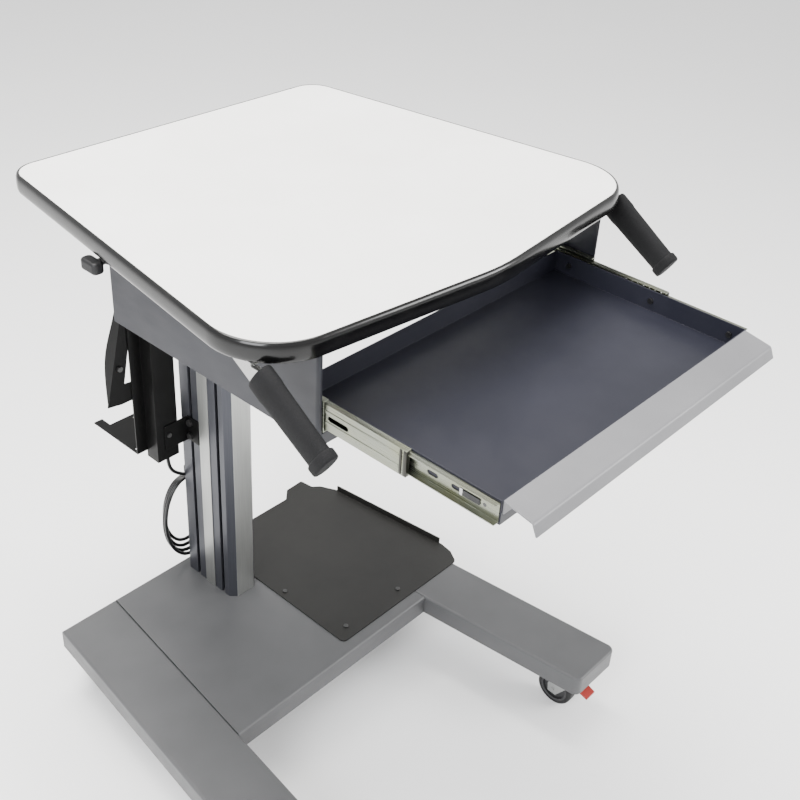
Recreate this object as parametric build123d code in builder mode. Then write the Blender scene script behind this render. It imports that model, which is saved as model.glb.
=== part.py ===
"""Mobile computer desk with a pull-out keyboard tray, in millimetres.

Frame: +Z up, the user stands on the -Y side, +X is the user's right.
The origin is on the floor, under the centre of the desk's outline.
The tray is modelled part way out, as it stands in use.
"""
from build123d import *
from math import acos, cos, hypot, pi, radians, sin, tan
import os

os.makedirs("parts", exist_ok=True)

# ---------------------------------------------------------------- driving dimensions
# Heights above the floor
CASTER_HEIGHT = 105.0
DECK_HEIGHT = 40.0
DECK_TOP = CASTER_HEIGHT + DECK_HEIGHT
TOP_SURFACE = 1064.0
TOP_THICKNESS = 27.0
TOP_UNDERSIDE = TOP_SURFACE - TOP_THICKNESS

# Worktop outline: a tapered plan with a blunt point at the middle of the front edge
TOP_FRONT_TIP_Y = -225.0
TOP_FRONT_CORNER = (390.0, -182.0)
TOP_REAR_CORNER = (302.0, 448.0)
TOP_FRONT_RADIUS = 97.0
TOP_REAR_RADIUS = 45.0
TOP_TIP_RADIUS = 320.0
MOULDING_BULGE = 5.0
MOULDING_TONGUE = 9.0

# Housing that hangs under the worktop and holds the slides
HOUSING_HALF_WIDTH = 290.0
HOUSING_FRONT_Y = -182.0
HOUSING_REAR_Y = 229.0
HOUSING_BOTTOM = 902.0
HOUSING_SHEET = 2.0
HOUSING_FLANGE = 16.0

# Keyboard tray
TRAY_HALF_WIDTH = 270.0
TRAY_FRONT_Y = -446.0
TRAY_DEPTH = 322.0
TRAY_HEIGHT = 33.0
TRAY_RIM = 960.0
TRAY_SHEET = 1.5
LIP_REACH = 41.0
LIP_FALL = 7.5
LIP_DROP = 15.5
LIP_SHEET = 2.0

# Three-member ball-bearing slides
SLIDE_LENGTH = 350.0
SLIDE_CENTRE_Z = 943.5
SLIDE_SHEET = 1.2
SLIDE_OUTER_HALF = 22.5
SLIDE_MID_HALF = 18.5
SLIDE_INNER_HALF = 13.7
SLIDE_TRAVEL = 260.0

# Column: a wide aluminium extrusion with T-slots
COLUMN_Y = 371.0
COLUMN_WIDTH = 64.0
COLUMN_DEPTH = 130.0
COLUMN_CHAMFER = 12.0
COLUMN_WALL = 4.0
SLOT_PITCH = 73.0
SLOT_MOUTH = 8.0
SLOT_INNER = 17.0
SLOT_DEPTH = 12.0
BAND_WIDTH = 27.0
BAND_RISE = 1.5

# Base: a cross deck between two splayed legs, and a side shelf on the right
LEG_WIDTH = 120.0
LEG_FRONT_Y = -296.0
LEG_REAR_Y = 463.0
LEG_FRONT_X = 397.0
LEG_SPLAY = 0.111
DECK_FRONT_Y = 49.0
BASE_SHEET = 2.5
SHELF_SHEET = 2.5
SHELF_FLANGE = 15.0

# Push handles at the front corners
HANDLE_X = 359.0
HANDLE_TILT = 32.0
HANDLE_TOP = (-155.0, 1024.0)
GRIP_LENGTH = 132.0
GRIP_TALL = 45.0
GRIP_THICK = 25.0
GRIP_END_TALL = 39.0
GRIP_END_THICK = 23.0
COLLAR_EXTRA = 3.0
COLLAR_LENGTH = 13.0
BAR_TALL = 33.0
BAR_THICK = 8.0

# Casters
WHEEL_RADIUS = 37.5
WHEEL_WIDTH = 24.0
CASTER_TRAIL = 28.0

# Middle of the desk from front to back, which the exported pieces have at y = 0
MIDDLE_Y = 42.5


def save(builder, name):
    """Put a finished piece in the desk's own frame, label it and write it as one STEP file."""
    piece = builder.part.moved(Location((0, -MIDDLE_Y, 0)))
    piece.label = name
    export_step(piece, f"parts/{name}.step")


def save_pair(left, name):
    """Write a left-hand piece and its mirror image on the right."""
    save(left, f"{name}_left")
    with BuildPart() as right:
        mirror(left.part, about=Plane.YZ)
    save(right, f"{name}_right")


def leg_outer_x(y):
    """Outer edge of the right leg at a distance y along the base."""
    return LEG_FRONT_X - LEG_SPLAY * (y - LEG_FRONT_Y)


def at_y(y):
    """Plane facing the user at a distance y, with local x along +X and local y along +Z."""
    return Plane.XZ.offset(-y)


# ---------------------------------------------------------------- fasteners' places
SCREW_HOLE = 2.5
SCREW_SHANK = 2.4
SCREW_HEAD = 4.5
SCREW_HEAD_TALL = 2.4
BOLT_HOLE = 4.0
BOLT_SHANK = 3.8
BOLT_HEAD = 6.5
BOLT_HEAD_TALL = 5.0

# ---------------------------------------------------------------- base: legs and cross deck
FRONT_CASTER_Y = LEG_FRONT_Y + 46.0
REAR_CASTER_Y = LEG_REAR_Y - 48.0
CASTER_SPOTS = {
    "front_left": (-(leg_outer_x(FRONT_CASTER_Y) - LEG_WIDTH / 2), FRONT_CASTER_Y),
    "front_right": (leg_outer_x(FRONT_CASTER_Y) - LEG_WIDTH / 2, FRONT_CASTER_Y),
    "rear_left": (-(leg_outer_x(REAR_CASTER_Y) - LEG_WIDTH / 2), REAR_CASTER_Y),
    "rear_right": (leg_outer_x(REAR_CASTER_Y) - LEG_WIDTH / 2, REAR_CASTER_Y),
}
PLATE_Z = 101.5
CASTER_BOLT_X = 70.0
CASTER_BOLT_Y = 50.0


def leg_plan(inset):
    """Corner points of the left leg's plan, drawn in by a wall thickness."""
    front = LEG_FRONT_Y + inset
    rear = LEG_REAR_Y - inset
    return [
        (-(leg_outer_x(front) - inset), front),
        (-(leg_outer_x(rear) - inset), rear),
        (-(leg_outer_x(rear) - LEG_WIDTH + inset), rear),
        (-(leg_outer_x(front) - LEG_WIDTH + inset), front),
    ]


with BuildPart() as leg:
    with BuildSketch(Plane.XY.offset(CASTER_HEIGHT)):
        with BuildLine():
            Polyline(*leg_plan(0.0), close=True)
        make_face()
    extrude(amount=DECK_HEIGHT)
    fillet(leg.edges().filter_by(Axis.Z).group_by(Axis.Y)[0], radius=14.0)
    fillet(leg.faces().sort_by(Axis.Z)[-1].edges(), radius=5.0)
    with BuildSketch(Plane.XY.offset(CASTER_HEIGHT + BASE_SHEET)):
        with BuildLine():
            Polyline(*leg_plan(BASE_SHEET + 3.0), close=True)
        make_face()
    extrude(amount=DECK_HEIGHT - 2 * BASE_SHEET, mode=Mode.SUBTRACT)
    leg_drill = [
        (x + dx, y + dy)
        for name, (x, y) in CASTER_SPOTS.items() if name.endswith("left")
        for dx in (-CASTER_BOLT_X / 2, CASTER_BOLT_X / 2)
        for dy in (-CASTER_BOLT_Y / 2, CASTER_BOLT_Y / 2)
    ]
    with Locations(*[(x, y, CASTER_HEIGHT) for x, y in leg_drill]):
        Cylinder(BOLT_HOLE, 4 * BASE_SHEET, mode=Mode.SUBTRACT)
save_pair(leg, "base_leg")

DECK_FRONT_HALF = leg_outer_x(DECK_FRONT_Y) - LEG_WIDTH
DECK_REAR_HALF = leg_outer_x(LEG_REAR_Y) - LEG_WIDTH
COLUMN_BOLTS = [
    (x, COLUMN_Y + y) for x in (-10.0, 10.0) for y in (-SLOT_PITCH / 2, SLOT_PITCH / 2)
]
SHELF_LEFT_X = COLUMN_WIDTH / 2 + 6.0
SHELF_SCREWS = [(70.0, 100.0), (215.0, 100.0), (52.0, 250.0), (52.0, 400.0)]


def deck_plan(inset):
    """Corner points of the cross deck's plan, drawn in by a wall thickness."""
    return [
        (-DECK_FRONT_HALF + inset, DECK_FRONT_Y + inset),
        (DECK_FRONT_HALF - inset, DECK_FRONT_Y + inset),
        (DECK_REAR_HALF - inset, LEG_REAR_Y - inset),
        (-DECK_REAR_HALF + inset, LEG_REAR_Y - inset),
    ]


with BuildPart() as deck:
    with BuildSketch(Plane.XY.offset(CASTER_HEIGHT)):
        with BuildLine():
            Polyline(*deck_plan(0.0), close=True)
        make_face()
    extrude(amount=DECK_HEIGHT)
    fillet(deck.faces().sort_by(Axis.Z)[-1].edges().filter_by(Axis.X), radius=5.0)
    with BuildSketch(Plane.XY.offset(CASTER_HEIGHT + BASE_SHEET)):
        with BuildLine():
            Polyline(*deck_plan(BASE_SHEET + 3.0), close=True)
        make_face()
    extrude(amount=DECK_HEIGHT - 2 * BASE_SHEET, mode=Mode.SUBTRACT)
    with Locations(*[(x, y, DECK_TOP) for x, y in COLUMN_BOLTS]):
        Cylinder(BOLT_HOLE, 4 * BASE_SHEET, mode=Mode.SUBTRACT)
    with Locations(*[(x, y, DECK_TOP) for x, y in SHELF_SCREWS]):
        Cylinder(SCREW_HOLE, 4 * BASE_SHEET, mode=Mode.SUBTRACT)
save(deck, "base_deck")

# ---------------------------------------------------------------- side shelf on the deck
SHELF_REAR_Y = 459.0
SHELF_FRONT_Y = 74.0
SHELF_EDGE_GAP = 31.0
SHELF_FLANGE_Y = (134.0, 404.0)


def shelf_edge_x(y):
    """Right edge of the shelf, parallel with the leg below it."""
    return leg_outer_x(y) + SHELF_EDGE_GAP


with BuildPart() as shelf:
    with BuildSketch(Plane.XY.offset(DECK_TOP)) as shelf_plan:
        with BuildLine():
            Polyline(
                (SHELF_LEFT_X, SHELF_FRONT_Y),
                (shelf_edge_x(SHELF_FRONT_Y) - 26, SHELF_FRONT_Y),
                (shelf_edge_x(100) - 8, 100),
                (shelf_edge_x(SHELF_FLANGE_Y[0]), SHELF_FLANGE_Y[0] - 6),
                (shelf_edge_x(SHELF_FLANGE_Y[1]), SHELF_FLANGE_Y[1]),
                (332, 441),
                (318, 452),
                (314, 483),
                (270, 481),
                (247, SHELF_REAR_Y),
                (SHELF_LEFT_X, SHELF_REAR_Y),
                close=True,
            )
        make_face()
        fillet(shelf_plan.vertices().group_by(Axis.Y)[0], radius=10)
        fillet(shelf_plan.vertices().sort_by(Axis.Y)[-1], radius=4)
        with Locations(*SHELF_SCREWS):
            Circle(SCREW_HOLE, mode=Mode.SUBTRACT)
    extrude(amount=SHELF_SHEET)
    flange_y0, flange_y1 = SHELF_FLANGE_Y
    with BuildSketch(Plane.XY.offset(DECK_TOP)):
        with BuildLine():
            Polyline(
                (shelf_edge_x(flange_y0), flange_y0),
                (shelf_edge_x(flange_y1), flange_y1),
                (shelf_edge_x(flange_y1) - SHELF_SHEET, flange_y1),
                (shelf_edge_x(flange_y0) - SHELF_SHEET, flange_y0),
                close=True,
            )
        make_face()
    extrude(amount=SHELF_FLANGE)
save(shelf, "side_shelf")

# ---------------------------------------------------------------- column extrusion
with BuildPart() as column:
    with BuildSketch(Plane.XY.offset(DECK_TOP)) as profile:
        with Locations((0, COLUMN_Y)):
            Rectangle(COLUMN_WIDTH, COLUMN_DEPTH)
        chamfer(profile.vertices().group_by(Axis.Y)[0], COLUMN_CHAMFER)
        with Locations((0, COLUMN_Y)):
            Rectangle(COLUMN_WIDTH + 2 * BAND_RISE, BAND_WIDTH)
            Rectangle(COLUMN_WIDTH - 2 * COLUMN_WALL, 44, mode=Mode.SUBTRACT)
        with Locations((0, COLUMN_Y - COLUMN_DEPTH / 2 + 9)):
            Rectangle(34, 9, mode=Mode.SUBTRACT)
        for side in (-1, 1):
            for slot_y in (-SLOT_PITCH / 2, SLOT_PITCH / 2):
                with Locations((side * (COLUMN_WIDTH / 2 - SLOT_DEPTH / 2), COLUMN_Y + slot_y)):
                    Rectangle(SLOT_DEPTH, SLOT_MOUTH, mode=Mode.SUBTRACT)
                inner_depth = SLOT_DEPTH - 4.0
                inner_x = COLUMN_WIDTH / 2 - 4.0 - inner_depth / 2
                with Locations((side * inner_x, COLUMN_Y + slot_y)):
                    Rectangle(inner_depth, SLOT_INNER, mode=Mode.SUBTRACT)
        rear = COLUMN_Y + COLUMN_DEPTH / 2
        with Locations((0, rear - SLOT_DEPTH / 2)):
            Rectangle(SLOT_MOUTH, SLOT_DEPTH, mode=Mode.SUBTRACT)
        with Locations((0, rear - 4.0 - inner_depth / 2)):
            Rectangle(SLOT_INNER, inner_depth, mode=Mode.SUBTRACT)
    extrude(amount=TOP_UNDERSIDE - DECK_TOP)
    with Locations(*[(x, y, DECK_TOP) for x, y in COLUMN_BOLTS]):
        Cylinder(BOLT_HOLE, 70, mode=Mode.SUBTRACT)
save(column, "column")

# ---------------------------------------------------------------- worktop and its edge moulding
GROOVE = 2.4
TONGUE_Z = TOP_UNDERSIDE + (TOP_THICKNESS - GROOVE) / 2


def worktop_plan(inset):
    """Plan of the worktop, drawn in from the moulding's outer edge."""
    with BuildSketch() as plan:
        with BuildLine():
            Polyline(
                (0, TOP_FRONT_TIP_Y),
                TOP_FRONT_CORNER,
                TOP_REAR_CORNER,
                (-TOP_REAR_CORNER[0], TOP_REAR_CORNER[1]),
                (-TOP_FRONT_CORNER[0], TOP_FRONT_CORNER[1]),
                close=True,
            )
        make_face()
        fillet(plan.vertices().group_by(Axis.Y)[-1], radius=TOP_REAR_RADIUS)
        fillet(plan.vertices().sort_by(Axis.X)[-1], radius=TOP_FRONT_RADIUS)
        fillet(plan.vertices().sort_by(Axis.X)[0], radius=TOP_FRONT_RADIUS)
        fillet(plan.vertices().sort_by(Axis.Y)[0], radius=TOP_TIP_RADIUS)
        offset(amount=-inset)
    return plan.sketch


TOP_PLAN = worktop_plan(0.0)
BOARD_PLAN = worktop_plan(MOULDING_BULGE)
GROOVE_PLAN = worktop_plan(MOULDING_BULGE + MOULDING_TONGUE)
TONGUE_PLAN = worktop_plan(MOULDING_BULGE + MOULDING_TONGUE - 1.0)

with BuildPart() as board:
    with BuildSketch(Plane.XY.offset(TOP_UNDERSIDE)):
        add(BOARD_PLAN)
    extrude(amount=TOP_THICKNESS)
    with BuildSketch(Plane.XY.offset(TONGUE_Z)):
        add(BOARD_PLAN)
        add(GROOVE_PLAN, mode=Mode.SUBTRACT)
    extrude(amount=GROOVE, mode=Mode.SUBTRACT)
save(board, "worktop_board")

with BuildPart() as moulding:
    with BuildSketch(Plane.XY.offset(TOP_UNDERSIDE)):
        add(TOP_PLAN)
    extrude(amount=TOP_THICKNESS)
    for end in (0, -1):
        fillet(moulding.faces().sort_by(Axis.Z)[end].edges(), radius=4.5)
    with BuildSketch(Plane.XY.offset(TOP_UNDERSIDE)):
        add(BOARD_PLAN)
    extrude(amount=TOP_THICKNESS, mode=Mode.SUBTRACT)
    with BuildSketch(Plane.XY.offset(TONGUE_Z + 0.1)):
        add(BOARD_PLAN)
        add(TONGUE_PLAN, mode=Mode.SUBTRACT)
    extrude(amount=GROOVE - 0.2)
save(moulding, "edge_moulding")

# ---------------------------------------------------------------- slide housing under the worktop
HOUSING_INNER_X = HOUSING_HALF_WIDTH - HOUSING_SHEET
HOUSING_HEIGHT = TOP_UNDERSIDE - HOUSING_BOTTOM
SLIDE_SCREW_YS = (-160.0, 0.0, 140.0)
TOP_SCREW_YS = (-150.0, 60.0, 200.0)
RETURN_FLANGE = 6.0
SLIDE_PAD = 4.8

with BuildPart() as housing_side:
    with BuildSketch(Plane.XY.offset(HOUSING_BOTTOM)) as side_plan:
        with BuildLine():
            Polyline(
                (-HOUSING_HALF_WIDTH, HOUSING_FRONT_Y),
                (-HOUSING_HALF_WIDTH + RETURN_FLANGE, HOUSING_FRONT_Y),
                (-HOUSING_HALF_WIDTH + RETURN_FLANGE, HOUSING_FRONT_Y + HOUSING_SHEET),
                (-HOUSING_INNER_X, HOUSING_FRONT_Y + HOUSING_SHEET),
                (-HOUSING_INNER_X, HOUSING_REAR_Y),
                (-HOUSING_HALF_WIDTH, HOUSING_REAR_Y),
                close=True,
            )
        make_face()
        bend_corners = side_plan.vertices()
        outer_bend = bend_corners.sort_by_distance((-HOUSING_HALF_WIDTH, HOUSING_FRONT_Y, 0))[0]
        fillet(outer_bend, radius=5.5)
        bend_corners = side_plan.vertices()
        inner_bend = bend_corners.sort_by_distance((-HOUSING_INNER_X, HOUSING_FRONT_Y + HOUSING_SHEET, 0))[0]
        fillet(inner_bend, radius=3.5)
    extrude(amount=HOUSING_HEIGHT)
    for z in (HOUSING_BOTTOM, TOP_UNDERSIDE - HOUSING_SHEET):
        with Locations((-HOUSING_HALF_WIDTH, HOUSING_FRONT_Y + 6, z)):
            Box(
                HOUSING_FLANGE + HOUSING_SHEET,
                HOUSING_REAR_Y - HOUSING_FRONT_Y - 10,
                HOUSING_SHEET,
                align=Align.MIN,
            )
    with Locations(*[(-HOUSING_INNER_X, y, SLIDE_CENTRE_Z) for y in SLIDE_SCREW_YS]):
        Cylinder(9, SLIDE_PAD, rotation=(0, 90, 0), align=(Align.CENTER, Align.CENTER, Align.MIN))
        Cylinder(
            SCREW_HOLE,
            SLIDE_PAD,
            rotation=(0, 90, 0),
            align=(Align.CENTER, Align.CENTER, Align.MIN),
            mode=Mode.SUBTRACT,
        )
    with Locations(*[(-280, y, TOP_UNDERSIDE) for y in TOP_SCREW_YS]):
        Cylinder(SCREW_HOLE, 12, mode=Mode.SUBTRACT)
save_pair(housing_side, "housing_side")

with BuildPart() as housing_back:
    with Locations((-HOUSING_INNER_X, HOUSING_REAR_Y - HOUSING_SHEET, HOUSING_BOTTOM + HOUSING_SHEET)):
        Box(
            2 * HOUSING_INNER_X,
            HOUSING_SHEET,
            HOUSING_HEIGHT - 2 * HOUSING_SHEET,
            align=Align.MIN,
        )
    with BuildSketch(at_y(HOUSING_REAR_Y)):
        with Locations((120, 1005)):
            SlotOverall(90, 26)
        for x in (-190, 190):
            with Locations((x, 950)):
                SlotOverall(46, 12)
    extrude(amount=4 * HOUSING_SHEET, both=True, mode=Mode.SUBTRACT)
save(housing_back, "housing_back")

RAIL_HALF = 283.5
with BuildPart() as front_rail:
    with BuildSketch(Plane.YZ.offset(-RAIL_HALF)):
        with BuildLine():
            Polyline(
                (HOUSING_FRONT_Y, HOUSING_BOTTOM - HOUSING_SHEET),
                (HOUSING_FRONT_Y + 30, HOUSING_BOTTOM - HOUSING_SHEET),
                (HOUSING_FRONT_Y + 30, HOUSING_BOTTOM),
                (HOUSING_FRONT_Y + HOUSING_SHEET, HOUSING_BOTTOM),
                (HOUSING_FRONT_Y + HOUSING_SHEET, HOUSING_BOTTOM + 16),
                (HOUSING_FRONT_Y, HOUSING_BOTTOM + 16),
                close=True,
            )
        make_face()
    extrude(amount=2 * RAIL_HALF)
save(front_rail, "housing_front_rail")

# ---------------------------------------------------------------- telescopic slides
SLIDE_OUTER_X = -283.2
SLIDE_MID_X = -280.6
SLIDE_INNER_X = -TRAY_HALF_WIDTH - SLIDE_SHEET
SLIDE_INNER_Y = TRAY_FRONT_Y + 2
SLIDE_MID_Y = SLIDE_INNER_Y + SLIDE_TRAVEL / 2 - 2
SLIDE_OUTER_Y = SLIDE_INNER_Y + SLIDE_TRAVEL
BALL_INNER = 1.75
BALL_OUTER = 1.35
CAGE_LENGTH = 70.0


def slide_member(web_x, toward, half, depth, start_y):
    """C-shaped slide member: web at web_x, flanges turned toward +X or -X."""
    flange_x = min(web_x, web_x + toward * depth) if toward < 0 else web_x
    with Locations((web_x, start_y, SLIDE_CENTRE_Z - half)):
        Box(SLIDE_SHEET, SLIDE_LENGTH, 2 * half, align=Align.MIN)
    for z in (SLIDE_CENTRE_Z - half, SLIDE_CENTRE_Z + half - SLIDE_SHEET):
        with Locations((flange_x, start_y, z)):
            Box(depth, SLIDE_LENGTH, SLIDE_SHEET, align=Align.MIN)


with BuildPart() as slide_outer:
    slide_member(SLIDE_OUTER_X, 1, SLIDE_OUTER_HALF, 8.2, SLIDE_OUTER_Y)
    with Locations(*[(SLIDE_OUTER_X, y, SLIDE_CENTRE_Z) for y in SLIDE_SCREW_YS]):
        Cylinder(SCREW_HOLE, 12, rotation=(0, 90, 0), mode=Mode.SUBTRACT)
save_pair(slide_outer, "slide_outer")

with BuildPart() as slide_mid:
    slide_member(SLIDE_MID_X, 1, SLIDE_MID_HALF, 8.1, SLIDE_MID_Y)
    with BuildSketch(Plane.YZ.offset(SLIDE_MID_X)):
        for y in (SLIDE_MID_Y + 110, SLIDE_MID_Y + 230):
            with Locations((y, SLIDE_CENTRE_Z)):
                SlotOverall(34, 7)
    extrude(amount=SLIDE_SHEET, mode=Mode.SUBTRACT)
save_pair(slide_mid, "slide_mid")

TRAY_SCREW_YS = (TRAY_FRONT_Y + 22, TRAY_FRONT_Y + 150, TRAY_FRONT_Y + 296)
with BuildPart() as slide_inner:
    slide_member(SLIDE_INNER_X, -1, SLIDE_INNER_HALF, 7.8, SLIDE_INNER_Y)
    with Locations(*[(SLIDE_INNER_X, y, SLIDE_CENTRE_Z) for y in TRAY_SCREW_YS]):
        Cylinder(SCREW_HOLE, 12, rotation=(0, 90, 0), mode=Mode.SUBTRACT)
    with BuildSketch(Plane.YZ.offset(SLIDE_INNER_X)):
        for y in (60, 96, 190, 232):
            with Locations((SLIDE_INNER_Y + y, SLIDE_CENTRE_Z)):
                SlotOverall(16, 6)
    extrude(amount=SLIDE_SHEET, mode=Mode.SUBTRACT)
save_pair(slide_inner, "slide_inner")

# Bearing balls: a row of balls on a thin strip in each gap between neighbouring members
CAGE_LENGTH = 70.0
CAGE_STRIP = 0.6
BALL_PITCH = 10.0


def ball_run(x, row_z, radius, strip_z, start_y):
    """Row of balls in the plane z = row_z, held by a flat strip lying at strip_z."""
    count = int(CAGE_LENGTH / BALL_PITCH)
    with Locations(*[(x, start_y + BALL_PITCH * (i + 0.5), row_z) for i in range(count)]):
        Sphere(radius)
    with Locations((x, start_y + CAGE_LENGTH / 2, strip_z)):
        Box(3.6, CAGE_LENGTH, CAGE_STRIP)


FRONT_ROW = (SLIDE_MID_HALF - SLIDE_SHEET + SLIDE_INNER_HALF) / 2
FRONT_STRIP = SLIDE_MID_HALF - SLIDE_SHEET - CAGE_STRIP / 2
REAR_ROW = (SLIDE_OUTER_HALF - SLIDE_SHEET + SLIDE_MID_HALF) / 2
REAR_STRIP = SLIDE_MID_HALF + CAGE_STRIP / 2
with BuildPart() as cages:
    for up in (-1, 1):
        ball_run(-275.4, SLIDE_CENTRE_Z + up * FRONT_ROW, 1.7, SLIDE_CENTRE_Z + up * FRONT_STRIP,
                 SLIDE_MID_Y + 4)
        ball_run(-277.8, SLIDE_CENTRE_Z + up * REAR_ROW, 1.3, SLIDE_CENTRE_Z + up * REAR_STRIP,
                 SLIDE_MID_Y + SLIDE_LENGTH - CAGE_LENGTH - 10)
    mirror(about=Plane.YZ)
save(cages, "ball_cages")

# ---------------------------------------------------------------- keyboard tray
TRAY_BOTTOM = TRAY_RIM - TRAY_HEIGHT
with BuildPart() as tray:
    with Locations((-TRAY_HALF_WIDTH, TRAY_FRONT_Y, TRAY_BOTTOM)):
        Box(2 * TRAY_HALF_WIDTH, TRAY_DEPTH, TRAY_HEIGHT, align=Align.MIN)
    offset(amount=-TRAY_SHEET, openings=tray.faces().sort_by(Axis.Z)[-1])
    for side in (-1, 1):
        with Locations(*[(side * TRAY_HALF_WIDTH, y, SLIDE_CENTRE_Z) for y in TRAY_SCREW_YS]):
            Cylinder(SCREW_HOLE, 12, rotation=(0, 90, 0), mode=Mode.SUBTRACT)
save(tray, "tray_pan")

LIP_INSET = 2.4
LIP_BEND = (TRAY_FRONT_Y - LIP_REACH, TRAY_RIM - LIP_FALL)
LIP_PROFILE = [
    (TRAY_FRONT_Y, TRAY_RIM),
    (TRAY_FRONT_Y - LIP_REACH, TRAY_RIM - LIP_FALL),
    (TRAY_FRONT_Y - LIP_REACH - 7, TRAY_RIM - LIP_FALL - LIP_DROP),
    (TRAY_FRONT_Y - LIP_REACH - 5, TRAY_RIM - LIP_FALL - LIP_DROP - 0.6),
    (TRAY_FRONT_Y - LIP_REACH + 1.6, TRAY_RIM - LIP_FALL - LIP_SHEET + 0.2),
    (TRAY_FRONT_Y - LIP_SHEET, TRAY_RIM - LIP_SHEET - 0.4),
    (TRAY_FRONT_Y - LIP_SHEET, TRAY_RIM - 18),
    (TRAY_FRONT_Y, TRAY_RIM - 18),
]
with BuildPart() as lip:
    with BuildSketch(Plane.YZ.offset(-TRAY_HALF_WIDTH + LIP_INSET)) as lip_section:
        with BuildLine():
            Polyline(*LIP_PROFILE, close=True)
        make_face()
        bends = lip_section.vertices().sort_by_distance((*LIP_BEND, 0))
        fillet(bends[0], radius=5)
    extrude(amount=2 * (TRAY_HALF_WIDTH - LIP_INSET))
save(lip, "tray_lip")

# ---------------------------------------------------------------- lifting handles
HANDLE_FLANGE = 5.0
HANDLE_FLANGE_Y = (-146.0, -76.0)
HANDLE_FLANGE_X = (-HANDLE_X - BAR_THICK / 2, -312.0)
HANDLE_PLATE_TOP = TOP_UNDERSIDE - HANDLE_FLANGE
HANDLE_SCREWS = [(x, y) for x in (-350.0, -322.0) for y in (-128.0, -86.0)]
along_y = -cos(radians(HANDLE_TILT))
along_z = -sin(radians(HANDLE_TILT))


def handle_point(along, across):
    """Point (y, z) of the left handle, measured down its axis and square to it."""
    return (
        HANDLE_TOP[0] + along * along_y + across * along_z,
        HANDLE_TOP[1] + along * along_z - across * along_y,
    )


def bar_reach(across):
    """Distance along the handle where its edge meets the underside of the flange plate."""
    return (HANDLE_PLATE_TOP - HANDLE_TOP[1] + across * along_y) / along_z


BAR_END = GRIP_LENGTH - 8.0
with BuildPart() as handle_bar:
    with BuildSketch(Plane.YZ.offset(-HANDLE_X - BAR_THICK / 2)):
        with BuildLine():
            Polyline(
                handle_point(bar_reach(BAR_TALL / 2), BAR_TALL / 2),
                handle_point(BAR_END, BAR_TALL / 2),
                handle_point(BAR_END, -BAR_TALL / 2),
                handle_point(bar_reach(-BAR_TALL / 2), -BAR_TALL / 2),
                close=True,
            )
        make_face()
    extrude(amount=BAR_THICK)
    with Locations((HANDLE_FLANGE_X[0], HANDLE_FLANGE_Y[0], HANDLE_PLATE_TOP)):
        Box(
            HANDLE_FLANGE_X[1] - HANDLE_FLANGE_X[0],
            HANDLE_FLANGE_Y[1] - HANDLE_FLANGE_Y[0],
            HANDLE_FLANGE,
            align=Align.MIN,
        )
    with Locations(*[(x, y, HANDLE_PLATE_TOP) for x, y in HANDLE_SCREWS]):
        Cylinder(SCREW_HOLE, 20, mode=Mode.SUBTRACT)
save_pair(handle_bar, "handle_bar")

grip_plane = Plane(
    origin=(-HANDLE_X, HANDLE_TOP[0], HANDLE_TOP[1]),
    x_dir=(1, 0, 0),
    z_dir=(0, along_y, along_z),
)
with BuildPart() as handle_grip:
    with BuildSketch(grip_plane):
        Ellipse(GRIP_THICK / 2, GRIP_TALL / 2)
    with BuildSketch(grip_plane.offset(GRIP_LENGTH)):
        Ellipse(GRIP_END_THICK / 2, GRIP_END_TALL / 2)
    loft()
    with BuildSketch(grip_plane.offset(GRIP_LENGTH - COLLAR_LENGTH)):
        Ellipse(GRIP_END_THICK / 2 + COLLAR_EXTRA, GRIP_END_TALL / 2 + COLLAR_EXTRA)
    extrude(amount=COLLAR_LENGTH)
    add(handle_bar.part, mode=Mode.SUBTRACT)
save_pair(handle_grip, "handle_grip")

# ---------------------------------------------------------------- computer holder on the column
CHANNEL_LEFT = -102.5
CHANNEL_RIGHT = -56.0
CHANNEL_FRONT = 417.0
CHANNEL_REAR = 449.0
CHANNEL_BOTTOM = 450.0
CHANNEL_TOP = 900.0
HOLDER_SHEET = 2.5
HOLDER_STRIP = 23.0
STRIP_BOTTOM = 465.5
SHELF_Z = 468.0
SHELF_RIGHT = -48.0
HOLDER_SHELF_REAR = 554.0
SHELF_EAR = (-108.0, 579.0)
BRACKET_LEFT = -86.0
BRACKET_FRONT = 386.0
BRACKET_LOW = (472.0, 523.0)
BRACKET_HIGH = (800.0, 851.0)
BRACKET_SCREWS = [(-77.6, z) for z in (502.0, 826.0)]
COLUMN_SIDE = -COLUMN_WIDTH / 2
REAR_SLOT_Y = COLUMN_Y + SLOT_PITCH / 2
HOLDER_BOLTS = [(REAR_SLOT_Y, z) for z in (483.0, 512.0, 811.0, 840.0)]

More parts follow.
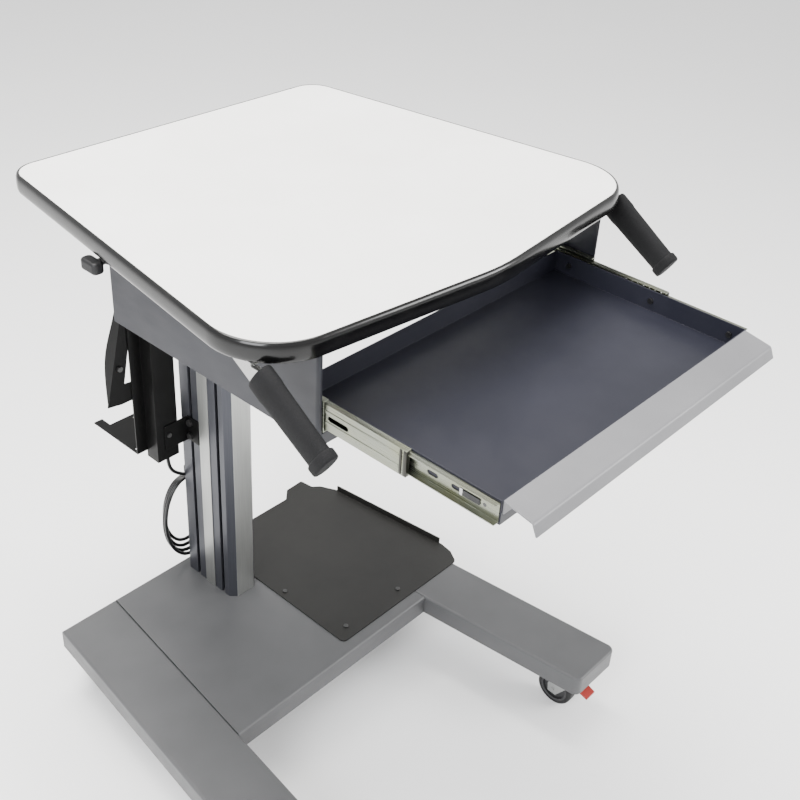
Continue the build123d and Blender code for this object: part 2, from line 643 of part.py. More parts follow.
with BuildPart() as channel:
    with BuildSketch(Plane.XY.offset(CHANNEL_BOTTOM)):
        with BuildLine():
            Polyline(
                (CHANNEL_LEFT, CHANNEL_FRONT),
                (CHANNEL_RIGHT, CHANNEL_FRONT),
                (CHANNEL_RIGHT, CHANNEL_REAR),
                (CHANNEL_RIGHT - 14, CHANNEL_REAR),
                (CHANNEL_RIGHT - 14, CHANNEL_REAR - HOLDER_SHEET),
                (CHANNEL_RIGHT - HOLDER_SHEET, CHANNEL_REAR - HOLDER_SHEET),
                (CHANNEL_RIGHT - HOLDER_SHEET, CHANNEL_FRONT + HOLDER_SHEET),
                (CHANNEL_LEFT + HOLDER_SHEET, CHANNEL_FRONT + HOLDER_SHEET),
                (CHANNEL_LEFT + HOLDER_SHEET, CHANNEL_REAR),
                (CHANNEL_LEFT, CHANNEL_REAR),
                close=True,
            )
        make_face()
    extrude(amount=CHANNEL_TOP - CHANNEL_BOTTOM)
    with Locations((CHANNEL_LEFT - HOLDER_STRIP, CHANNEL_REAR - HOLDER_SHEET, STRIP_BOTTOM)):
        Box(HOLDER_STRIP, HOLDER_SHEET, CHANNEL_TOP - STRIP_BOTTOM, align=Align.MIN)
    with Locations(*[(x, CHANNEL_FRONT, z) for x, z in BRACKET_SCREWS]):
        Cylinder(SCREW_HOLE, 20, rotation=(90, 0, 0), mode=Mode.SUBTRACT)
save(channel, "holder_channel")

with BuildPart() as holder_shelf:
    with BuildSketch(Plane.XY.offset(SHELF_Z - HOLDER_SHEET)):
        with BuildLine():
            Polyline(
                (CHANNEL_LEFT - HOLDER_STRIP, CHANNEL_REAR),
                (CHANNEL_RIGHT, CHANNEL_REAR),
                (SHELF_RIGHT, CHANNEL_REAR + 12),
                (SHELF_RIGHT, HOLDER_SHELF_REAR),
                (SHELF_EAR[0], HOLDER_SHELF_REAR),
                SHELF_EAR,
                (CHANNEL_LEFT - HOLDER_STRIP, SHELF_EAR[1]),
                close=True,
            )
        make_face()
        with Locations((-60, 544), (-117, 460)):
            Circle(3.2, mode=Mode.SUBTRACT)
    extrude(amount=HOLDER_SHEET)
save(holder_shelf, "holder_shelf")

with BuildPart() as holder_brackets:
    for low, high in (BRACKET_LOW, BRACKET_HIGH):
        with Locations((BRACKET_LEFT, CHANNEL_FRONT - HOLDER_SHEET, low)):
            Box(COLUMN_SIDE - BRACKET_LEFT, HOLDER_SHEET, high - low, align=Align.MIN)
        with Locations((COLUMN_SIDE - HOLDER_SHEET, BRACKET_FRONT, low)):
            Box(HOLDER_SHEET, CHANNEL_FRONT - BRACKET_FRONT, high - low, align=Align.MIN)
    with Locations(*[(COLUMN_SIDE, y, z) for y, z in HOLDER_BOLTS]):
        Cylinder(BOLT_HOLE, 12, rotation=(0, 90, 0), mode=Mode.SUBTRACT)
    with Locations(*[(x, CHANNEL_FRONT, z) for x, z in BRACKET_SCREWS]):
        Cylinder(SCREW_HOLE, 20, rotation=(90, 0, 0), mode=Mode.SUBTRACT)
save(holder_brackets, "holder_brackets")

# Sliding clamp that comes down on the computer's case, stiffened along its slanted edge
WING_Y = CHANNEL_REAR + 0.4
WING_RIGHT = CHANNEL_RIGHT - 4
WING_FOOT = (-174.5, 587.6)
WING_SHOULDER = (-101.0, 896.0)
WING_BOTTOM = 583.0
RIB_DEPTHS = [(0.12, 15.0), (0.26, 26.0), (0.48, 20.0), (0.75, 12.0)]
CLAMP_SCREW = (-146.0, 656.7)
slant_x = WING_SHOULDER[0] - WING_FOOT[0]
slant_z = WING_SHOULDER[1] - WING_FOOT[1]
rib_length = hypot(slant_x, slant_z)
slant_plane = Plane(
    origin=(WING_FOOT[0], WING_Y, WING_FOOT[1]),
    x_dir=(slant_x, 0, slant_z),
    z_dir=(-slant_z, 0, slant_x),
)
with BuildPart() as wing:
    with BuildSketch(at_y(WING_Y)):
        with BuildLine():
            Polyline(
                WING_FOOT,
                (-146, WING_BOTTOM),
                (WING_RIGHT, WING_BOTTOM),
                (WING_RIGHT, CHANNEL_TOP),
                (WING_SHOULDER[0], CHANNEL_TOP),
                WING_SHOULDER,
                close=True,
            )
        make_face()
        with BuildLine():
            Polyline((-122, 702), (-112, 702), (-112, 618), (-138, 621), close=True)
        make_face(mode=Mode.SUBTRACT)
    extrude(amount=-HOLDER_SHEET)
    with BuildSketch(slant_plane):
        with BuildLine():
            Line((0, 0), (rib_length, 0))
            Spline((0, 0), *[(share * rib_length, deep) for share, deep in RIB_DEPTHS], (rib_length, 0))
        make_face()
    extrude(amount=-HOLDER_SHEET)
    with BuildSketch(at_y(WING_Y)):
        with Locations(CLAMP_SCREW):
            Circle(SCREW_HOLE)
    extrude(amount=-HOLDER_SHEET, mode=Mode.SUBTRACT)
save(wing, "clamp_wing")

with BuildPart() as clamp_screw:
    screw_seat = (CLAMP_SCREW[0], WING_Y, CLAMP_SCREW[1])
    with Locations(Plane(origin=screw_seat, z_dir=(0, -1, 0))):
        Cylinder(5, 5, align=(Align.CENTER, Align.CENTER, Align.MIN))
        Cylinder(SCREW_SHANK, HOLDER_SHEET, align=(Align.CENTER, Align.CENTER, Align.MAX))
save(clamp_screw, "clamp_screw")

# ---------------------------------------------------------------- height release lever
LEVER_PIVOT = (-308.0, 199.0)
PADDLE_CENTRE = (-338.0, 195.0, 1020.0)
PIVOT_RADIUS = 4.0
RUNNING_GAP = 0.05
with BuildPart() as lever_bracket:
    with Locations((LEVER_PIVOT[0], LEVER_PIVOT[1], TOP_UNDERSIDE - 2)):
        Box(34, 60, 4)
    with BuildSketch(Plane.XY.offset(1016)):
        with Locations(LEVER_PIVOT):
            Circle(PIVOT_RADIUS)
    extrude(until=Until.NEXT)
    with Locations((*LEVER_PIVOT, 1014)):
        Cylinder(7, 4)
    with Locations(*[(LEVER_PIVOT[0], y, TOP_UNDERSIDE) for y in (177, 221)]):
        Cylinder(SCREW_HOLE, 20, mode=Mode.SUBTRACT)
save(lever_bracket, "lever_bracket")

with BuildPart() as lever:
    with BuildSketch(Plane.XY.offset(1016.3)):
        with Locations(LEVER_PIVOT):
            Circle(9)
        with Locations((-322, LEVER_PIVOT[1])):
            Rectangle(26, 14)
        with Locations(LEVER_PIVOT):
            Circle(PIVOT_RADIUS + RUNNING_GAP, mode=Mode.SUBTRACT)
    extrude(amount=4)
save(lever, "release_lever")

with BuildPart() as paddle:
    with Locations(PADDLE_CENTRE):
        Box(18, 34, 17)
    fillet(paddle.edges().filter_by(Axis.Z), radius=7)
    fillet(paddle.faces().filter_by(Axis.Z).edges(), radius=4)
    add(lever.part, mode=Mode.SUBTRACT)
save(paddle, "lever_paddle")

# ---------------------------------------------------------------- power cord on its hook
CORD_DIAMETER = 7.0
CORD_Y = 454.0
HANK_CENTRE = (-20.0, 264.0)
HANK_HALF = (63.0, 104.0)
HANK_THICK = 24.0
HANK_BAND = 22.0
HOOK_Z = 334.0


def cord_radii(points):
    """Bend radius at each inner point, from the shorter run beside it and the turn."""
    radii = []
    for before, at, after in zip(points, points[1:], points[2:]):
        run_in = [b - a for a, b in zip(before, at)]
        run_out = [b - a for a, b in zip(at, after)]
        length_in = hypot(*run_in)
        length_out = hypot(*run_out)
        cosine = sum(a * b for a, b in zip(run_in, run_out)) / (length_in * length_out)
        radii.append(0.45 * min(length_in, length_out) / tan(acos(cosine) / 2))
    return radii


def cord_tube(points, name):
    """Tube of straight runs joined by tangent arcs, checked against its own length."""
    radii = cord_radii(points)
    with BuildPart() as tube:
        with BuildLine() as route:
            FilletPolyline(*points, radius=radii)
        with BuildSketch(route.line ^ 0):
            Circle(CORD_DIAMETER / 2)
        sweep()
    length = sum(edge.length for edge in route.edges())
    expected = pi * (CORD_DIAMETER / 2) ** 2 * length
    print(name, "length", round(length), "bend radii", [round(r, 1) for r in radii])
    print(name, "volume over section times length", round(tube.part.volume / expected, 4))
    save(tube, name)


GROMMET = (-71.0, 433.0)
with BuildPart() as grommet:
    with Locations((*GROMMET, CHANNEL_BOTTOM)):
        Cylinder(11, 5, align=(Align.CENTER, Align.CENTER, Align.MAX))
    with Locations((*GROMMET, CHANNEL_BOTTOM)):
        Box(24, 25, 4, align=(Align.CENTER, Align.CENTER, Align.MIN))
save(grommet, "cable_grommet")

cord_tube([(*GROMMET, CHANNEL_BOTTOM - 5), (*GROMMET, 410), (-34, CORD_Y, 366)], "power_cord")
PLUG_TOP = (72.0, CORD_Y, 294.0)
cord_tube([(0, CORD_Y, 357), (45, CORD_Y, 363), (70, CORD_Y, 338), PLUG_TOP], "cord_tail")

with BuildPart() as hank:
    with BuildSketch(at_y(CORD_Y - HANK_THICK / 2)):
        with Locations(HANK_CENTRE):
            Ellipse(*HANK_HALF)
            Ellipse(HANK_HALF[0] - HANK_BAND, HANK_HALF[1] - HANK_BAND, mode=Mode.SUBTRACT)
    extrude(amount=-HANK_THICK)
save(hank, "cable_hank")

COLUMN_REAR = COLUMN_Y + COLUMN_DEPTH / 2
HOOK_TIP_Y = CORD_Y + HANK_THICK / 2 + 14
with BuildPart() as hook:
    with Locations((0, COLUMN_REAR + 1.5, HOOK_Z + 6)):
        Box(22, 3, 48)
    with Locations(Plane(origin=(0, COLUMN_REAR, HOOK_Z), z_dir=(0, 1, 0))):
        Cylinder(3, HOOK_TIP_Y - COLUMN_REAR, align=(Align.CENTER, Align.CENTER, Align.MIN))
    with Locations((0, HOOK_TIP_Y - 3, HOOK_Z)):
        Sphere(3)
        Cylinder(3, 24, align=(Align.CENTER, Align.CENTER, Align.MIN))
    with Locations((0, COLUMN_REAR, HOOK_Z + 22)):
        Cylinder(SCREW_HOLE, 20, rotation=(90, 0, 0), mode=Mode.SUBTRACT)
save(hook, "cable_hook")

PLUG_RELIEF = 18.0
PLUG_BODY = (26.0, 20.0, 36.0)
PLUG_BLADE = (1.6, 6.3, 17.0)
PLUG_BLADE_GAP = 12.7
with BuildPart() as plug:
    with Locations(PLUG_TOP):
        Cone(6.5, 5, PLUG_RELIEF, align=(Align.CENTER, Align.CENTER, Align.MAX))
    with Locations((PLUG_TOP[0], CORD_Y, PLUG_TOP[2] - PLUG_RELIEF)):
        Box(*PLUG_BODY, align=(Align.CENTER, Align.CENTER, Align.MAX))
    fillet(plug.edges().filter_by(Axis.Z), radius=5)
    blade_z = PLUG_TOP[2] - PLUG_RELIEF - PLUG_BODY[2]
    for side in (-1, 1):
        with Locations((PLUG_TOP[0] + side * PLUG_BLADE_GAP / 2, CORD_Y, blade_z)):
            Box(*PLUG_BLADE, align=(Align.CENTER, Align.CENTER, Align.MAX))
save(plug, "power_plug")

# ---------------------------------------------------------------- brackets under the worktop
BAND_FACE = COLUMN_WIDTH / 2 + BAND_RISE
TOP_BRACKET_SHEET = 3.0
TOP_BRACKET_LOW = TOP_UNDERSIDE - 60
TOP_BRACKET_HALF = 55.0
TOP_BRACKET_REACH = 36.0
TOP_BRACKET_BOLTS = [(COLUMN_Y + dy, TOP_UNDERSIDE - 34) for dy in (-SLOT_PITCH / 2, SLOT_PITCH / 2)]
TOP_BRACKET_SCREWS = [(-BAND_FACE - 22, COLUMN_Y + dy) for dy in (-38.0, 38.0)]
with BuildPart() as top_bracket:
    with Locations((-BAND_FACE, COLUMN_Y - TOP_BRACKET_HALF, TOP_BRACKET_LOW)):
        Box(
            TOP_BRACKET_SHEET,
            2 * TOP_BRACKET_HALF,
            TOP_UNDERSIDE - TOP_BRACKET_LOW,
            align=(Align.MAX, Align.MIN, Align.MIN),
        )
    with Locations((-BAND_FACE, COLUMN_Y, TOP_UNDERSIDE)):
        Box(
            TOP_BRACKET_REACH,
            2 * TOP_BRACKET_HALF,
            TOP_BRACKET_SHEET,
            align=(Align.MAX, Align.CENTER, Align.MAX),
        )
    with Locations(*[(-BAND_FACE, y, z) for y, z in TOP_BRACKET_BOLTS]):
        Cylinder(BOLT_HOLE, 20, rotation=(0, 90, 0), mode=Mode.SUBTRACT)
    with Locations(*[(x, y, TOP_UNDERSIDE) for x, y in TOP_BRACKET_SCREWS]):
        Cylinder(SCREW_HOLE, 20, mode=Mode.SUBTRACT)
save_pair(top_bracket, "top_bracket")


# ---------------------------------------------------------------- fasteners
def fastener(point, facing, shank_radius, shank, head_radius, head):
    """Round-headed screw bearing on the point, its head toward the facing direction."""
    with Locations(Plane(origin=point, z_dir=facing)):
        Cylinder(shank_radius, shank, align=(Align.CENTER, Align.CENTER, Align.MAX))
        Cylinder(head_radius, head, align=(Align.CENTER, Align.CENTER, Align.MIN))


def screw(point, facing, shank, head=SCREW_HEAD_TALL):
    """Small screw, as used for sheet metal."""
    fastener(point, facing, SCREW_SHANK, shank, SCREW_HEAD, head)


def bolt(point, facing, shank):
    """Larger bolt, as used on the column."""
    fastener(point, facing, BOLT_SHANK, shank, BOLT_HEAD, BOLT_HEAD_TALL)


UP = (0, 0, 1)
DOWN = (0, 0, -1)
SLIDE_HEAD = 1.0
with BuildPart() as frame_bolts:
    for x, y in COLUMN_BOLTS:
        bolt((x, y, DECK_TOP - BASE_SHEET), DOWN, 30)
    for side in (-1, 1):
        for y, z in TOP_BRACKET_BOLTS:
            bolt((side * (BAND_FACE + TOP_BRACKET_SHEET), y, z), (side, 0, 0), 14)
    for y, z in HOLDER_BOLTS:
        bolt((COLUMN_SIDE - HOLDER_SHEET, y, z), (-1, 0, 0), 12)
    for cx, cy in CASTER_SPOTS.values():
        for dx in (-CASTER_BOLT_X / 2, CASTER_BOLT_X / 2):
            for dy in (-CASTER_BOLT_Y / 2, CASTER_BOLT_Y / 2):
                fastener((cx + dx, cy + dy, PLATE_Z), DOWN, BOLT_SHANK, 12, 6.0, 3.0)
save(frame_bolts, "frame_bolts")

with BuildPart() as frame_screws:
    for x, y in SHELF_SCREWS:
        screw((x, y, DECK_TOP + SHELF_SHEET), UP, 12)
    for side in (-1, 1):
        for y in TOP_SCREW_YS:
            screw((side * 280, y, TOP_UNDERSIDE - HOUSING_SHEET), DOWN, HOUSING_SHEET)
        for y in SLIDE_SCREW_YS:
            slide_face = -SLIDE_OUTER_X - SLIDE_SHEET
            screw((side * slide_face, y, SLIDE_CENTRE_Z), (-side, 0, 0), 5.5, SLIDE_HEAD)
        for x, y in HANDLE_SCREWS:
            screw((side * x, y, HANDLE_PLATE_TOP), DOWN, HANDLE_FLANGE)
        for x, y in TOP_BRACKET_SCREWS:
            screw((side * x, y, TOP_UNDERSIDE - TOP_BRACKET_SHEET), DOWN, TOP_BRACKET_SHEET)
    for x, z in BRACKET_SCREWS:
        screw((x, CHANNEL_FRONT - HOLDER_SHEET, z), (0, -1, 0), 2 * HOLDER_SHEET)
    for y in (177, 221):
        screw((LEVER_PIVOT[0], y, TOP_UNDERSIDE - 4), DOWN, 4)
    screw((0, COLUMN_REAR + 3, HOOK_Z + 22), (0, 1, 0), 8)
save(frame_screws, "frame_screws")

with BuildPart() as tray_screws:
    for side in (-1, 1):
        for y in TRAY_SCREW_YS:
            wall = side * (TRAY_HALF_WIDTH - TRAY_SHEET)
            screw((wall, y, SLIDE_CENTRE_Z), (-side, 0, 0), TRAY_SHEET + SLIDE_SHEET)
save(tray_screws, "tray_screws")

# ---------------------------------------------------------------- casters
AXLE_RADIUS = 4.0
KING_PIN = 6.0
CHEEK_GAP = 13.2
CHEEK_SHEET = 3.0
CROWN_Z = 80.0
RACE_Z = 95.9
PEDAL_PIVOT = (-13.0, 72.0)

with BuildPart() as caster_plates:
    for x, y in CASTER_SPOTS.values():
        with BuildSketch(Plane.XY.offset(PLATE_Z)):
            with Locations((x, y)):
                RectangleRounded(CASTER_BOLT_X + 20, CASTER_BOLT_Y + 20, 7)
                with GridLocations(CASTER_BOLT_X, CASTER_BOLT_Y, 2, 2):
                    Circle(BOLT_HOLE, mode=Mode.SUBTRACT)
        extrude(amount=CASTER_HEIGHT - PLATE_Z)
        with Locations((x, y, PLATE_Z)):
            Cylinder(24, PLATE_Z - RACE_Z, align=(Align.CENTER, Align.CENTER, Align.MAX))
            Cylinder(KING_PIN, PLATE_Z - CROWN_Z - 3, align=(Align.CENTER, Align.CENTER, Align.MAX))
save(caster_plates, "caster_plates")

for spot, (cx, cy) in CASTER_SPOTS.items():
    axle = (cx, cy + CASTER_TRAIL, WHEEL_RADIUS)
    braked = spot.startswith("front")
    with BuildPart() as fork:
        with Locations((cx, cy, CROWN_Z)):
            Cylinder(23, RACE_Z - 0.3 - CROWN_Z, align=(Align.CENTER, Align.CENTER, Align.MIN))
            Cylinder(KING_PIN + RUNNING_GAP, 60, mode=Mode.SUBTRACT)
        for side in (-1, 1):
            with BuildSketch(Plane.YZ.offset(cx + side * (CHEEK_GAP + CHEEK_SHEET / 2))) as cheek:
                with BuildLine():
                    Polyline(
                        (cy - 18, CROWN_Z + 12),
                        (cy + 18, CROWN_Z + 12),
                        (cy + 40, 46),
                        (cy + 38, 28),
                        (cy + 20, 27),
                        (cy - 4, 62),
                        (cy - 20, 66),
                        close=True,
                    )
                make_face()
            extrude(amount=CHEEK_SHEET / 2, both=True)
        with Locations(axle):
            Cylinder(AXLE_RADIUS, 2 * (CHEEK_GAP + CHEEK_SHEET) + 3, rotation=(0, 90, 0))
        if braked:
            with Locations((cx, cy + PEDAL_PIVOT[0], PEDAL_PIVOT[1])):
                Cylinder(2.5 + RUNNING_GAP, 60, rotation=(0, 90, 0), mode=Mode.SUBTRACT)
    save(fork, f"caster_fork_{spot}")

    with BuildPart() as core:
        with Locations(axle):
            Cylinder(29, WHEEL_WIDTH, rotation=(0, 90, 0))
            Cylinder(11, 2 * (CHEEK_GAP - 0.3), rotation=(0, 90, 0))
            Cylinder(AXLE_RADIUS + RUNNING_GAP, 60, rotation=(0, 90, 0), mode=Mode.SUBTRACT)
        for side in (-1, 1):
            with BuildSketch(Plane.YZ.offset(cx + side * WHEEL_WIDTH / 2)):
                with Locations(axle[1:]):
                    Circle(25)
                    Circle(14, mode=Mode.SUBTRACT)
            extrude(amount=-side * 5, mode=Mode.SUBTRACT)
    save(core, f"wheel_core_{spot}")

    with BuildPart() as tyre:
        with Locations(axle):
            Cylinder(WHEEL_RADIUS, WHEEL_WIDTH, rotation=(0, 90, 0))
            fillet(tyre.edges().filter_by(GeomType.CIRCLE), radius=4)
            Cylinder(29, 60, rotation=(0, 90, 0), mode=Mode.SUBTRACT)
    save(tyre, f"wheel_tyre_{spot}")

    if braked:
        with BuildPart() as pedal:
            with BuildSketch(Plane.YZ.offset(cx)):
                with BuildLine():
                    Polyline(
                        (cy - 8, 75),
                        (cy - 21, 75.5),
                        (cy - 46, 66),
                        (cy - 46, 62),
                        (cy - 21, 69),
                        (cy - 8, 68),
                        close=True,
                    )
                make_face()
            extrude(amount=CHEEK_GAP - 0.4, both=True)
            with Locations((cx, cy + PEDAL_PIVOT[0], PEDAL_PIVOT[1])):
                Cylinder(2.5, 2 * (CHEEK_GAP + CHEEK_SHEET), rotation=(0, 90, 0))
        save(pedal, f"brake_pedal_{spot}")
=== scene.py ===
"""Procedural look of a standing computer desk on casters with a pull-out keyboard tray."""

from math import cos, pi, radians, sin

import bmesh
import bpy
from mathutils import Matrix, Vector


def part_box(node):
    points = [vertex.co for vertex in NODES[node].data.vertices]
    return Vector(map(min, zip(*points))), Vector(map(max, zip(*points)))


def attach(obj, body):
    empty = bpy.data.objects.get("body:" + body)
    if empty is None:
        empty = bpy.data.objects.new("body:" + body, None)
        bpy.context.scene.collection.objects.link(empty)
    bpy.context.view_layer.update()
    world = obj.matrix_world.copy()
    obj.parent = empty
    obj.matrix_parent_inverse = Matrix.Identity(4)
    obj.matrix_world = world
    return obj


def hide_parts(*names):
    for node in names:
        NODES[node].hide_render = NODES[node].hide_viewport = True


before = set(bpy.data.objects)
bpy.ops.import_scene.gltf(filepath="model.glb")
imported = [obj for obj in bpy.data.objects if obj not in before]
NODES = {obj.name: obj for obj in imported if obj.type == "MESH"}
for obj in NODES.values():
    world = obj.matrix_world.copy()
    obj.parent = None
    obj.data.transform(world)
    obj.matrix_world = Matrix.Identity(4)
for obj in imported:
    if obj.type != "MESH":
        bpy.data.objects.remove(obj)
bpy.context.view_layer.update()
MM = 0.001


# ------------------------------------------------------------------ camera, light and floor
def place_camera():
    """Camera above the desk's front left corner, looking down across the worktop."""
    place = (-1.0933, -1.0412, 1.7448)
    azimuth, elevation, roll = radians(-49.7), radians(32.89), radians(3.76)
    back = Vector((sin(azimuth) * cos(elevation), -cos(azimuth) * cos(elevation), sin(elevation)))
    right = (-back).cross(Vector((0, 0, 1))).normalized()
    up = back.cross(right)
    across = cos(roll) * right + sin(roll) * up
    upward = -sin(roll) * right + cos(roll) * up
    data = bpy.data.cameras.new("camera")
    data.sensor_width = 36.0
    data.lens = 52.38
    data.shift_x = -0.0091
    data.shift_y = -0.0248
    data.clip_end = 60.0
    camera = bpy.data.objects.new("camera", data)
    turn = Matrix((across, upward, back)).transposed().to_4x4()
    camera.matrix_world = Matrix.Translation(place) @ turn
    bpy.context.collection.objects.link(camera)
    bpy.context.scene.camera = camera


def area_light(name, place, target, size, power, colour=(1, 1, 1)):
    """Soft rectangular lamp aimed at a point."""
    data = bpy.data.lights.new(name, "AREA")
    data.shape = "RECTANGLE"
    data.size, data.size_y = size
    data.energy = power
    data.color = colour
    lamp = bpy.data.objects.new(name, data)
    lamp.location = place
    lamp.rotation_euler = (Vector(target) - Vector(place)).to_track_quat("-Z", "Y").to_euler()
    bpy.context.collection.objects.link(lamp)


SEEN_WHITE = 7.0  # strength of the surround where the camera sees it
SURROUND = 1.3  # strength where it only lights the desk
WARM, COOL = (1.0, 0.985, 0.96), (0.97, 0.985, 1.0)
FLOOR_HALF = 14


def make_studio():
    """Pale floor, an even white surround and soft lamps."""
    world = bpy.data.worlds.new("studio")
    bpy.context.scene.world = world
    world.use_nodes = True
    tree = world.node_tree
    background = tree.nodes["Background"]
    background.inputs["Color"].default_value = (1.0, 1.0, 1.0, 1.0)
    seen = node(tree, "ShaderNodeLightPath").outputs["Is Camera Ray"]
    strength = mapped(tree, seen, 0.0, 1.0, SURROUND, SEEN_WHITE)
    tree.links.new(strength, background.inputs["Strength"])
    area_light("overhead", (-0.2, 0.6, 3.6), (0, 0.1, 0.9), (2.6, 2.2), 300, WARM)
    area_light("window", (-2.9, -0.9, 2.3), (0, 0, 0.8), (1.6, 2.0), 150, COOL)
    area_light("fill", (1.9, -2.6, 1.7), (0.2, 0, 0.8), (1.4, 1.4), 100)
    corners = [(x * FLOOR_HALF, y * FLOOR_HALF, 0) for x, y in ((-1, -1), (1, -1), (1, 1), (-1, 1))]
    floor = mesh_object("floor", corners, [(0, 1, 2, 3)])
    paint(floor, floor_material())


# ------------------------------------------------------------------ mesh helpers
def mesh_object(name, points, faces):
    """New flat-shaded mesh object at the origin from points in metres."""
    mesh = bpy.data.meshes.new(name)
    mesh.from_pydata([tuple(p) for p in points], [], [tuple(f) for f in faces])
    mesh.validate()
    work = bmesh.new()
    work.from_mesh(mesh)
    bmesh.ops.recalc_face_normals(work, faces=work.faces)
    work.to_mesh(mesh)
    work.free()
    for face in mesh.polygons:
        face.use_smooth = False
    made = bpy.data.objects.new(name, mesh)
    bpy.context.collection.objects.link(made)
    return made


CREASE_ANGLE = radians(40)


def loft(name, rings, closed=False):
    """Smooth skin over rings of points that match one to one. An open skin is capped at both ends."""
    count = len(rings[0])
    points = [p for ring in rings for p in ring]
    faces = []
    last = len(rings) if closed else len(rings) - 1
    for i in range(last):
        a, b = i * count, ((i + 1) % len(rings)) * count
        for j in range(count):
            k = (j + 1) % count
            faces.append((a + j, a + k, b + k, b + j))
    if not closed:
        faces.append(tuple(range(count)))
        faces.append(tuple(range((len(rings) - 1) * count, len(rings) * count)))
    made = mesh_object(name, points, faces)
    smooth_shade(made)
    return made


def smooth_shade(obj):
    """Smooth shading that keeps the edges turning more than the crease angle sharp."""
    work = bmesh.new()
    work.from_mesh(obj.data)
    for edge in work.edges:
        edge.smooth = len(edge.link_faces) != 2 or edge.calc_face_angle(0.0) < CREASE_ANGLE
    for face in work.faces:
        face.smooth = True
    work.to_mesh(obj.data)
    work.free()


def join(name, parts):
    """One object from several, keeping their shading and materials."""
    work = bmesh.new()
    materials = []
    for part in parts:
        first = len(materials)
        materials += list(part.data.materials)
        start = len(work.faces)
        work.from_mesh(part.data)
        work.faces.ensure_lookup_table()
        for face in work.faces[start:]:
            face.material_index += first
        bpy.data.objects.remove(part)
    mesh = bpy.data.meshes.new(name)
    work.to_mesh(mesh)
    work.free()
    for material in materials:
        mesh.materials.append(material)
    made = bpy.data.objects.new(name, mesh)
    bpy.context.collection.objects.link(made)
    return made


def paint(obj, material):
    """Give an object one material, on every slot it has."""
    if isinstance(obj, str):
        obj = NODES[obj]
    if not obj.material_slots:
        obj.data.materials.append(material)
    for slot in obj.material_slots:
        slot.link = "OBJECT"
        slot.material = material


# ------------------------------------------------------------------ material helpers
def feed(tree, socket, value):
    """Link an output to a socket, or set a plain value on it."""
    if isinstance(value, bpy.types.NodeSocket):
        tree.links.new(value, socket)
    elif socket.type == "RGBA":
        socket.default_value = (*value, 1.0)
    else:
        socket.default_value = value


def node(tree, kind, inputs=None, **settings):
    """Shader node with settings on it and values or links on its inputs."""
    made = tree.nodes.new(kind)
    for key, value in settings.items():
        setattr(made, key, value)
    for key, value in (inputs or {}).items():
        feed(tree, made.inputs[key], value)
    return made


def start_material(name, metallic=0.0, coat=0.0, coat_rough=0.1, anisotropy=0.0):
    """Empty Principled material: (material, tree, shader, object coordinates)."""
    material = bpy.data.materials.new(name)
    material.use_nodes = True
    tree = material.node_tree
    shader = tree.nodes["Principled BSDF"]
    shader.inputs["Metallic"].default_value = metallic
    shader.inputs["Coat Weight"].default_value = coat
    shader.inputs["Coat Roughness"].default_value = coat_rough
    shader.inputs["Anisotropic"].default_value = anisotropy
    place = node(tree, "ShaderNodeTexCoord").outputs["Object"]
    return material, tree, shader, place


def noise(tree, place, scale, detail=3.0, stretch=(1, 1, 1)):
    """Noise value over object coordinates, stretched along chosen axes."""
    if stretch != (1, 1, 1):
        place = node(tree, "ShaderNodeMapping", {"Vector": place, "Scale": stretch}).outputs["Vector"]
    settings = {"Vector": place, "Scale": scale, "Detail": detail, "Roughness": 0.55}
    return node(tree, "ShaderNodeTexNoise", settings).outputs["Fac"]


def mapped(tree, value, low, high, to_low=0.0, to_high=1.0):
    """Value taken from one range to another and kept inside it."""
    made = node(
        tree,
        "ShaderNodeMapRange",
        {"Value": value, "From Min": low, "From Max": high, "To Min": to_low, "To Max": to_high},
    )
    return made.outputs["Result"]


def mixed(tree, fac, first, second):
    """Colour mix by a factor."""
    made = node(tree, "ShaderNodeMix", data_type="RGBA")
    for index, value in ((0, fac), (6, first), (7, second)):
        feed(tree, made.inputs[index], value)
    return made.outputs[2]


def maths(tree, operation, first, second=0.0):
    """Result of one operation on two values."""
    return node(tree, "ShaderNodeMath", {0: first, 1: second}, operation=operation).outputs[0]


def soft_normal(tree, radius):
    """Normal rounded over the sharp edges of sheet metal and machined parts."""
    return node(tree, "ShaderNodeBevel", {"Radius": radius}, samples=4).outputs["Normal"]


def edge_mask(tree, normal):
    """1 where an edge is rounded off, 0 on flat faces."""
    geometry = node(tree, "ShaderNodeNewGeometry").outputs["Normal"]
    agree = node(tree, "ShaderNodeVectorMath", {0: normal, 1: geometry}, operation="DOT_PRODUCT")
    return mapped(tree, maths(tree, "SUBTRACT", 1.0, agree.outputs["Value"]), 0.01, 0.12)


def finish_material(tree, shader, colour, rough, height, depth, normal=None, strength=1.0):
    """Connect colour, roughness and a bump of the given depth in metres."""
    feed(tree, shader.inputs["Base Color"], colour)
    feed(tree, shader.inputs["Roughness"], rough)
    bump = node(tree, "ShaderNodeBump", {"Height": height, "Distance": depth, "Strength": strength})
    if normal is not None:
        tree.links.new(normal, bump.inputs["Normal"])
    tree.links.new(bump.outputs["Normal"], shader.inputs["Normal"])


def lighter(colour, times, plus):
    """Colour scaled and lifted."""
    return [channel * times + plus for channel in colour]


